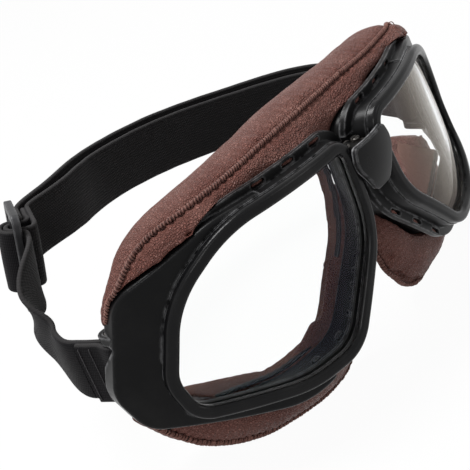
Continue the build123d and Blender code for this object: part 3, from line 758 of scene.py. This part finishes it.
def arc_spots(a, b, c, count=6):
    """Spots on the arc from a through b to just before c."""
    turn = 2 * (a.x * (b.y - c.y) + b.x * (c.y - a.y) + c.x * (a.y - b.y))
    if abs(turn) < 1e-9:
        return [a.lerp(c, k / count) for k in range(count)]
    aa, bb, cc = a.length_squared, b.length_squared, c.length_squared
    middle = Vector((
        (aa * (b.y - c.y) + bb * (c.y - a.y) + cc * (a.y - b.y)) / turn,
        (aa * (c.x - b.x) + bb * (a.x - c.x) + cc * (b.x - a.x)) / turn,
    ))
    first = atan2((a - middle).y, (a - middle).x)
    way = -1 if (b - a).cross(c - b) < 0 else 1
    sweep = (atan2((c - middle).y, (c - middle).x) - first) * way % (2 * pi)
    size = (a - middle).length
    angles = [first + way * sweep * k / count for k in range(count)]
    return [middle + Vector((cos(angle), sin(angle))) * size for angle in angles]


def pad_form(stations):
    """The smooth form through a pad's stations, as a surface for nearest-point questions."""
    rings = []
    for station in stations:
        points = [Vector(in_section(station, d, r)) for d, r in section_shares]
        ring = []
        for i in range(0, len(points), 2):
            ring += arc_spots(points[i], points[i + 1], points[(i + 2) % len(points)])
        rings.append([at_station(station, *spot) for spot in ring])
    lines = [fine_line([ring[k] for ring in rings], counts=12) for k in range(len(rings[0]))]
    rows, size = len(lines[0]), len(lines)
    verts = [lines[k][j] for j in range(rows) for k in range(size)]
    faces = []
    for j in range(rows - 1):
        for k in range(size):
            after = (k + 1) % size
            faces.append((j * size + k, j * size + after, (j + 1) * size + after, (j + 1) * size + k))
    return BVHTree.FromPolygons(verts, faces)


skin_depth, form_reach, wall_reach, same_way = 0.25 * MM, 6.0 * MM, 5.0 * MM, 0.75
wall_gap, wall_fade = 0.7 * MM, 1.8 * MM


def drawn_to(pad, form, walls):
    """Draws a pad's free outer side to its smooth form, a little inside it."""
    for vertex, normal in points_of(pad):
        spot, face = form.find_nearest(vertex.co, form_reach)[:2]
        if spot is None or abs(normal.dot(face)) < same_way:
            continue
        near = min((wall.find_nearest(vertex.co, wall_reach)[3] or wall_reach) for wall in walls)
        vertex.co = vertex.co.lerp(spot - normal * skin_depth, clipped((near - wall_gap) / wall_fade))


half_opening = (35.0 * MM, 25.0 * MM)
opening_corners = [
    (-1.009, 0.984), (0.257, 0.960), (0.786, 0.520), (1.034, -0.300), (0.971, -0.700), (0.086, -1.040),
    (-0.400, -1.012), (-0.986, 0.000),
]
opening_line = [Vector((u * half_opening[0], v * half_opening[1])) for u, v in opening_corners]


def outside_opening(spot):
    """How far a flat spot lies outside the lens opening's outline, and which way is out."""
    best = None
    for i, a in enumerate(opening_line):
        b = opening_line[(i + 1) % len(opening_line)]
        along = b - a
        part = clipped((spot - a).dot(along) / along.length_squared)
        near = a + along * part
        out = Vector((-along.y, along.x)).normalized()
        gap = (spot - near).length
        if best is None or gap < best[0]:
            best = (gap, (spot - near).dot(out) >= 0, out)
    gap, beyond, out = best
    return (gap if beyond else -gap), out


half_eye_spacing, front_setback, tube_depth = 46.0 * MM, 34.0 * MM, 14.0 * MM
front_wrap, rear_wrap, eye_tilt = 20, 11, -7.5


def eye_frame(side):
    """The eyecup's own frame, and the plane on which its tube ends."""
    def turned(spot, wrap):
        return (
            Matrix.Translation(spot) @ Matrix.Rotation(radians(side * wrap), 4, "Z")
            @ Matrix.Rotation(radians(eye_tilt), 4, "X")
        )
    own = turned((side * half_eye_spacing, -front_setback, 0), front_wrap)
    return own, turned(own @ Vector((0, tube_depth, 0)), rear_wrap)


flare_start, flare_least, flare_most = 2.5 * MM, 1.2 * MM, 9.0 * MM
flare_slope, flare_to_nose, flare_down, nose_cut, top_cut = 0.38, 0.55, 0.14, 0.68, 0.65
cut_top, cut_foot, cut_fade = 22.0 * MM, 4.0 * MM, 10.0 * MM


def flare_back(piece, side):
    """Draws the pad's inner side back from the eye, most towards the nose, as the stuffing rounds off there."""
    own, rear = eye_frame(side)
    undo = rear.inverted()
    for vertex in piece.data.vertices:
        if vertex.co.x * side < 0:
            continue
        spot = undo @ vertex.co
        behind = spot.y - flare_start
        if behind <= 0:
            continue
        flat = Vector((spot.x * side, spot.z))
        gap, out = outside_opening(flat)
        out = (out + flat.normalized()).normalized()
        to_nose, below_brow = (-out.x - 0.45 * out.y - 0.05) / 0.5, (cut_top - flat.y) / cut_fade
        behind *= 1 - nose_cut * clipped(to_nose) * clipped(below_brow)
        slope = flare_slope - flare_to_nose * out.x + flare_down * max(0.0, -out.y)
        if flat.x < 0:
            slope *= 1 - top_cut * clipped((flat.y - cut_foot) / cut_fade)
        wanted = min(flare_least + max(0.0, slope) * behind, flare_most)
        if gap < wanted:
            flat += out * (wanted - gap)
        vertex.co = rear @ Vector((flat.x * side, flare_start + behind, flat.y))


def on_goggles(piece):
    """The piece stays with the goggles."""
    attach(piece, "goggles")


held_gap, pad_pressure, swell_ticks, most_swell = 1.6 * MM, 4.0, 20, 1.0 * MM


def blown_up(pad, walls):
    """Blows the pad up by a cloth simulation, held at its walls, with a cap on how far a point may move."""
    rest = [vertex.co.copy() for vertex in pad.data.vertices]
    held = [
        i for i, spot in enumerate(rest) if any(wall.find_nearest(spot, held_gap)[0] is not None for wall in walls)
    ]
    pad.vertex_groups.new(name="held").add(held, 1.0, "REPLACE")
    cloth = pad.modifiers.new("Cloth", "CLOTH")
    cloth.settings.use_pressure = True
    cloth.settings.uniform_pressure_force = pad_pressure
    cloth.settings.effector_weights.gravity = 0
    cloth.settings.vertex_group_mass = "held"
    cloth.settings.quality = 4
    cloth.point_cache.frame_start = 1
    cloth.point_cache.frame_end = swell_ticks
    for tick in range(1, swell_ticks + 1):
        bpy.context.scene.frame_set(tick)
    alone(pad)
    bpy.ops.object.modifier_apply(modifier=cloth.name)
    bpy.context.scene.frame_set(1)
    for vertex, home in zip(pad.data.vertices, rest):
        step = vertex.co - home
        if step.length > most_swell:
            vertex.co = home + step * (most_swell / step.length)
    pad.vertex_groups.clear()


seam_depth, seam_beside, seam_width = 0.75 * MM, 0.6 * MM, 1.3 * MM
fold_start, fold_reach, large_softness, small_softness = 0.8 * MM, 4.2 * MM, 0.32 * MM, 0.22 * MM
clear_reach, clear_least, clear_over = 2.5 * MM, 0.6 * MM, 1.9 * MM


def cushion(name, node, hard_nodes, welt, form, voxel=3.0 * MM, pucker=0.30 * MM, wave=3.1 * MM):
    """A stuffed leather pad: blown up by a cloth simulation, then drawn in along its sewn welt."""
    pad = start_from(node, name)
    pad.data.remesh_voxel_size = voxel
    bpy.ops.object.voxel_remesh()
    before = surface_of(nodes[node])
    for vertex in pad.data.vertices:
        spot, normal = before.find_nearest(vertex.co)[:2]
        vertex.co = spot - normal * skin_depth
    walls = [surface_of(nodes[name]) for name in hard_nodes]
    drawn_to(pad, form, walls)
    for side in (1, -1):
        flare_back(pad, side)
    blown_up(pad, walls)
    applied(pad, "SUBSURF", levels=2, render_levels=2)
    seam = KDTree(len(welt))
    for i, spot in enumerate(welt):
        seam.insert(spot, i)
    seam.balance()
    for vertex, normal in points_of(pad):
        spot, index, distance = seam.find(vertex.co)
        trough = seam_depth * exp(-((distance - seam_beside) / seam_width) ** 2)
        beat = 2 * pi * index * line_step / wave + 3.0 * noise(vertex.co * 90)
        fold = pucker * cos(beat) * exp(-max(distance - fold_start, 0) / fold_reach)
        soft = large_softness * noise(vertex.co * 52)
        soft += small_softness * noise(vertex.co * 150 + Vector((3, 1, 7)))
        move = fold + soft - trough
        if move > 0:
            for wall in walls:
                clear = wall.find_nearest(vertex.co, clear_reach)[3]
                if clear is not None:
                    move *= clipped((clear - clear_least) / clear_over)
        vertex.co += normal * move
    alone(pad)
    bpy.ops.object.shade_smooth()
    on_goggles(wear_finish(pad, brown_leather))
    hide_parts(node)
    return pad


def snapped(line, piece, lift):
    """The line laid on the piece's surface, raised by a little and made even over its neighbours."""
    surface = surface_of(piece)
    laid = []
    for spot in line:
        hit, normal = surface.find_nearest(spot)[:2]
        laid.append((hit + normal * lift, normal))
    middle = []
    for i in range(len(laid)):
        near = laid[max(0, i - 4):i + 5]
        spot, face = (sum((pair[k] for pair in near), Vector()) for k in (0, 1))
        middle.append((spot / len(near), face.normalized()))
    return middle


def cord_along(name, spots, thick, finish):
    """A round cord along a line of points, closed at its ends."""
    cord = added(bpy.ops.curve.primitive_nurbs_path_add, name)
    cord.data.splines.clear()
    spline = cord.data.splines.new("NURBS")
    spline.points.add(len(spots) - 1)
    for point, spot in zip(spline.points, spots):
        point.co = (*spot, 1)
    spline.order_u = 3
    spline.use_endpoint_u = True
    cord.data.bevel_depth = thick
    cord.data.bevel_resolution = 3
    cord.data.resolution_u = 2
    cord.data.use_fill_caps = True
    alone(cord)
    bpy.ops.object.convert(target="MESH")
    cord = bpy.context.object
    settle(cord)
    bpy.ops.object.shade_smooth()
    return wear_finish(cord, finish)


def one_stitch(wide, thick, finish):
    """One arched stitch: half a small ring, lying across the X axis."""
    stitch = added(
        bpy.ops.mesh.primitive_torus_add, "stitch", major_segments=12, minor_segments=5,
        major_radius=wide, minor_radius=thick, rotation=(0, pi / 2, 0),
    )
    settle(stitch)
    bpy.ops.object.mode_set(mode="EDIT")
    bpy.ops.mesh.select_all(action="SELECT")
    bpy.ops.mesh.bisect(plane_co=(0, 0, -thick), plane_no=(0, 0, 1), clear_inner=True, use_fill=True)
    bpy.ops.object.mode_set(mode="OBJECT")
    bpy.ops.object.shade_smooth()
    return wear_finish(stitch, finish)


def stitch_at(master, here, way, side, face):
    """A copy of the stitch, turned to a place on the piece."""
    copy = bpy.data.objects.new(master.name + "_one", master.data.copy())
    copy.data.transform(Matrix.Translation(here) @ Matrix((way, side, face)).transposed().to_4x4())
    bpy.context.scene.collection.objects.link(copy)
    return copy


def stitched_along(name, laid, pitch, wide, thick, slant):
    """Many copies of one stitch over a cord, each a little different."""
    master = one_stitch(wide, thick, brown_thread)
    total, copies, goal = 0.0, [], 0.0
    for i in range(len(laid) - 1):
        here, face = laid[i]
        way = laid[i + 1][0] - here
        total += way.length
        if total < goal:
            continue
        goal += pitch * (1 + 0.12 * noise(here * 700))
        way.normalize()
        face = (face - way * face.dot(way)).normalized()
        side = way.cross(face)
        lean = slant + 0.18 * noise(here * 900 + Vector((5, 2, 1)))
        ahead = (way * cos(lean) + side * sin(lean)).normalized()
        beside = ahead.cross(face)
        size = 1 + 0.08 * noise(here * 1100)
        copies.append(stitch_at(master, here, ahead * size, -beside * size, face * size))
    bpy.data.objects.remove(master)
    return joined(copies, name)


def sewn_welt(name, pad, welt, thick, pitch, slant):
    """The raised welt with its overcast thread."""
    laid = snapped(welt, pad, welt_lift)
    on_goggles(cord_along(name, [spot for spot, face in laid[::3]], thick, welt_leather))
    on_goggles(stitched_along(name + "_thread", laid, pitch, thick * 1.25, thick * 0.42, slant))


welt_lift = 0.45 * MM
brow_seam = [
    (0.0, -22.3, 34.0), (17.0, -22.0, 34.1), (29.0, -21.4, 33.6), (42.0, -20.4, 32.9), (50.0, -18.9, 32.3),
    (60.0, -15.8, 31.4), (66.0, -12.0, 30.2), (72.0, -9.8, 28.4), (81.0, -7.0, 20.5),
]
half_seam = [Vector(spot) * MM for spot in brow_seam] + [welt_spots(brow_stations)[-1]]
brow_line = smooth_line([Vector((-spot.x, spot.y, spot.z)) for spot in reversed(half_seam[1:])] + half_seam)


brow_form = pad_form(to_side(reversed(brow_stations[1:]), -1) + brow_stations)
brow_walls = ["left_eyecup", "left_rim", "right_eyecup", "right_rim"]
brow = cushion("brow_cushion", "brow_pad", brow_walls, brow_line, brow_form)
sewn_welt("brow_welt", brow, brow_line, 0.55 * MM, 0.95 * MM, 0.45)
tail_spots = [
    (60.9, -16.2, 31.6), (61.2, -17.0, 31.9), (61.3, -17.8, 31.2), (60.8, -18.3, 29.8), (61.0, -18.8, 28.6),
]
tail_line = smooth_line([Vector(spot) * MM for spot in tail_spots])
on_goggles(cord_along("brow_thread_tail", tail_line, 0.16 * MM, brown_thread))
for side, label in sides:
    stations = to_side(cheek_stations, side)
    cheek_line = smooth_line(welt_spots(stations))
    cheek = cushion(
        label + "_cheek_cushion", label + "_cheek_pad", [label + "_eyecup", label + "_rim"], cheek_line,
        pad_form(stations), voxel=2.6 * MM, pucker=0.32 * MM, wave=2.3 * MM,
    )
    sewn_welt(label + "_cheek_welt", cheek, cheek_line, 0.72 * MM, 0.78 * MM, 0.55)

# Linings: drawn back at the temple, widened elsewhere, black in front and brown behind
temple_reach, lining_wider, nose_wider, facing_depth = 13.0 * MM, 1.1 * MM, 1.6 * MM, 1.6 * MM
reach_start, reach_full, brow_start, brow_fade = 1.0 * MM, 4.0 * MM, 4.0 * MM, 8.0 * MM
least_shrink, more_shrink, shrink_waves = 0.05 * MM, 0.18 * MM, 170
for side, label in sides:
    lining = start_from(label + "_lining", label + "_soft_lining")
    rear = eye_frame(side)[1]
    undo = rear.inverted()
    for vertex in lining.data.vertices:
        spot = undo @ vertex.co
        towards_temple = spot.x * side / hypot(spot.x, spot.z)
        share = clipped((towards_temple - 0.35) / 0.30) * max(0.0, spot.y - reach_start) / reach_full
        spot.y += temple_reach * share
        out = outside_opening(Vector((spot.x * side, spot.z)))[1]
        wider = lining_wider * clipped((0.75 - towards_temple) / 0.3)
        if towards_temple < 0:
            wider += nose_wider * clipped((spot.z - brow_start) / brow_fade)
        spot.x += out.x * side * wider
        spot.z += out.y * wider
        vertex.co = rear @ spot
    lining.data.remesh_voxel_size = 0.6 * MM
    bpy.ops.object.voxel_remesh()
    applied(lining, "SMOOTH", factor=0.5, iterations=12)
    for vertex, normal in points_of(lining):
        vertex.co -= normal * (least_shrink + more_shrink * abs(noise(vertex.co * shrink_waves)))
    alone(lining)
    bpy.ops.object.shade_smooth()
    on_goggles(wear_finish(lining, facing_black, lining_leather))
    for face in lining.data.polygons:
        if (undo @ face.center).y > facing_depth:
            face.material_index = 1
    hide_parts(label + "_lining")

# Leather of the pads, pressed a little way into the flange's slots
tube_outer, flange_reach, patch_depth, bow_radius = 4.0 * MM, 6.8 * MM, 6.1 * MM, 100.0 * MM
first_slot, slot_pitch, slots = 5.0 * MM, 11.5 * MM, 3
patch_long, patch_deep, patch_wide = 2.4 * MM, 1.0 * MM, 0.64 * MM
for side, label in sides:
    own = eye_frame(side)[0]
    patches = []
    for index, step in ((0, 1), (6, -1)):
        start, end = opening_line[index], opening_line[index + 1]
        along = (end - start).normalized()
        out = Vector((-along.y, along.x))
        origin = (start if step > 0 else end) + out * (tube_outer + flange_reach) / 2
        for i in range(slots):
            spot = origin + along * (step * (first_slot + i * slot_pitch))
            patch = added(bpy.ops.mesh.primitive_uv_sphere_add, "patch", segments=24, ring_count=12, radius=1)
            bow = bow_radius - sqrt(bow_radius ** 2 - spot.x ** 2)
            turn = Matrix((
                (along.x * side * patch_long, 0, out.x * side * patch_wide, spot.x * side),
                (0, patch_deep, 0, patch_depth + bow),
                (along.y * patch_long, 0, out.y * patch_wide, spot.y),
                (0, 0, 0, 1),
            ))
            patch.data.transform(own @ turn)
            patches.append(patch)
    pressed = joined(patches, label + "_slot_leather")
    turned_outward(pressed)
    bpy.ops.object.shade_smooth()
    on_goggles(wear_finish(pressed, brown_leather))

# The strap, from the right bar round the head to the left bar
for side, label in reversed(sides):
    end_loop_web(side, label)

right_way, left_way = loop_frame(-1)[1], loop_frame(1)[1]
line, across, places = run_line(
    loop_spot(-1, inner_leg_end, inner_leg), [(-1.003, 0.381, 0.00), (-0.964, 0.488, 0.59)], slider_spot(-9.8, -2.8),
    right_way, slider_way, [0, 1, 7, 14],
)
middle = places[-1] // 2
cut_web("short_run_front", line, across, 0, middle, "short_run", "right_loop", "goggles")
cut_web("short_run_rear", line, across, middle, places[-1], None, "goggles", "adjuster")

wrap_radius, hem_radius, half_turn = 4.5, 2.65, (150, 120, 90, 60, 30)
wrap_spots = [(-10.0, -2.8), (-8.0, -2.8), (-6.2, -2.78), (-5.1, -2.25), (-4.55, -1.0), (-wrap_radius, 0.0)]
wrap_spots += round_spots(wrap_radius, half_turn)
wrap_spots += [(wrap_radius, 0.0), (4.55, -1.0), (5.1, -2.25), (6.2, -2.78), (8.0, -2.8), (11.0, -2.8), (14.0, -2.8)]
wrap_line = smooth_line([slider_spot(a, o) for a, o in wrap_spots], step=fine_step)
strap_piece("wrap_webbing", wrap_line, [slider_up] * len(wrap_line), strap_faces, "slider_wrap", ["adjuster"])

hem_spots = [(14.0, -6.3), (10.0, -6.3), (4.0, -6.3), (0.0, -6.15), (-2.0, -5.2), (-2.65, -3.6), (-2.68, -1.5)]
hem_spots += [(-hem_radius, 0.0)] + round_spots(hem_radius, half_turn) + [(hem_radius, 0.0)]
hem_spots += [(2.68, -1.8), (3.1, -3.7), (4.4, -4.68), (7.0, -4.75), (10.5, -4.75), (13.6, -4.75)]
hem_line = smooth_line([slider_spot(a, o) for a, o in hem_spots], step=fine_step)
hem_faces = (ribbed_webbing, smooth_webbing, ribbed_webbing)
strap_piece("hem_webbing", hem_line, [slider_up] * len(hem_line), hem_faces, "slider_hem_loop", ["adjuster"])

outer_route = [
    (-0.500, 0.930, 1.00), (-0.235, 1.000, 0.90), (0.060, 1.015, 0.72), (0.370, 0.945, 0.48), (0.670, 0.765, 0.25),
    (0.915, 0.490, 0.06),
]
inner_route = [
    (-0.475, 0.878, 0.94), (-0.225, 0.940, 0.82), (0.060, 0.955, 0.64), (0.355, 0.886, 0.40), (0.637, 0.715, 0.18),
    (0.872, 0.462, 0.00),
]
for label, route, start, reached, shift, leans in (
    ("outer", outer_route, slider_spot(14.0, -2.8), 12.1, 0.80, [14, 10, 8, 5, 3, 2, 1, 0]),
    ("inner", inner_route, slider_spot(14.0, -6.3), 14.1, -1.5, [14, 10, 8, 5, 3, 2, 0, 0]),
):
    line, across, places = run_line(start, route, loop_spot(1, reached, shift), slider_way, -left_way, leans)
    for part, node, a, b, bodies in (
        ("_run_at_slider", "_slider_run", 0, 2, ("adjuster", "goggles")),
        ("_run_behind", "_back_run", 2, 5, ("goggles",)),
        ("_run_at_left", "_left_run", 5, 7, ("goggles", "left_loop")),
    ):
        cut_web(label + part, line, across, places[a], places[b], label + node, *bodies)


# Sewing on the strap
row_length, row_pitch, row_flatness = 17.5 * MM, 1.0 * MM, 0.45


def row_of_stitches(name, middle, way, face, body):
    """A straight row of dark stitches across the strap."""
    master = one_stitch(0.55 * MM, 0.16 * MM, black_thread)
    side = way.cross(face)
    count = int(row_length / row_pitch)
    copies = [
        stitch_at(master, middle + side * ((i - count / 2) * row_pitch), way, -side, face * row_flatness)
        for i in range(count + 1)
    ]
    bpy.data.objects.remove(master)
    row = joined(copies, name)
    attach(row, body)


for side, label in reversed(sides):
    middle, along, sideways = loop_frame(side)
    for k, distance in enumerate((7.2, 10.8)):
        spot = loop_spot(side, distance, 1.72)
        row_of_stitches(label + "_loop_stitches_" + str(k), spot, along, sideways * -side, label + "_loop")
row_of_stitches("hem_stitches", slider_spot(11.0, -7.2), slider_way, -slider_out, "adjuster")

# Light and floor
floor_level, floor_size, floor_glow, room_light = cad_box[0][2] - 0.4 * MM, 8, 0.96, 0.105
floor = added(
    bpy.ops.mesh.primitive_grid_add, "studio_floor",
    x_subdivisions=4, y_subdivisions=4, size=floor_size, location=(0, 0, floor_level),
)
settle(floor)
paper, tree, shader = new_finish("pale_floor")
tree.nodes.remove(shader)
pale = tint(tree, place_noise(tree, 3.0), (0.86, 0.86, 0.86), (0.90, 0.90, 0.90))
plain = add_node(tree, "ShaderNodeBsdfDiffuse", in_Color=pale)
lit = tree.nodes.new("ShaderNodeEmission")
glow = scaled(tree, seen_direct(tree), floor_glow)
mixed(tree, glow, plain.outputs["BSDF"], lit.outputs["Emission"], tree.nodes["Material Output"])
wear_finish(floor, paper)

world = bpy.context.scene.world or bpy.data.worlds.new("studio")
bpy.context.scene.world = world
world.use_nodes = True
tree = world.node_tree
tree.nodes.clear()
room, wall = (
    add_node(tree, "ShaderNodeBackground", in_Color=(1, 1, 1, 1), in_Strength=strength).outputs["Background"]
    for strength in (room_light, 1.0)
)
mixed(tree, seen_direct(tree), room, wall, tree.nodes.new("ShaderNodeOutputWorld"))

for name, place, size, power in (
    ("top_box", (-0.10, 0.25, 0.85), 0.34, 9.2),
    ("left_box", (-0.66, -0.42, 0.58), 0.22, 1.6),
    ("front_box", (0.35, -0.80, 0.45), 0.30, 0.8),
):
    lamp = added(bpy.ops.object.light_add, name, type="AREA", location=place)
    lamp.data.size = size
    lamp.data.energy = power
    lamp.rotation_euler = (-Vector(place)).to_track_quat("-Z", "Y").to_euler()

bpy.context.scene.view_settings.view_transform = "Standard"
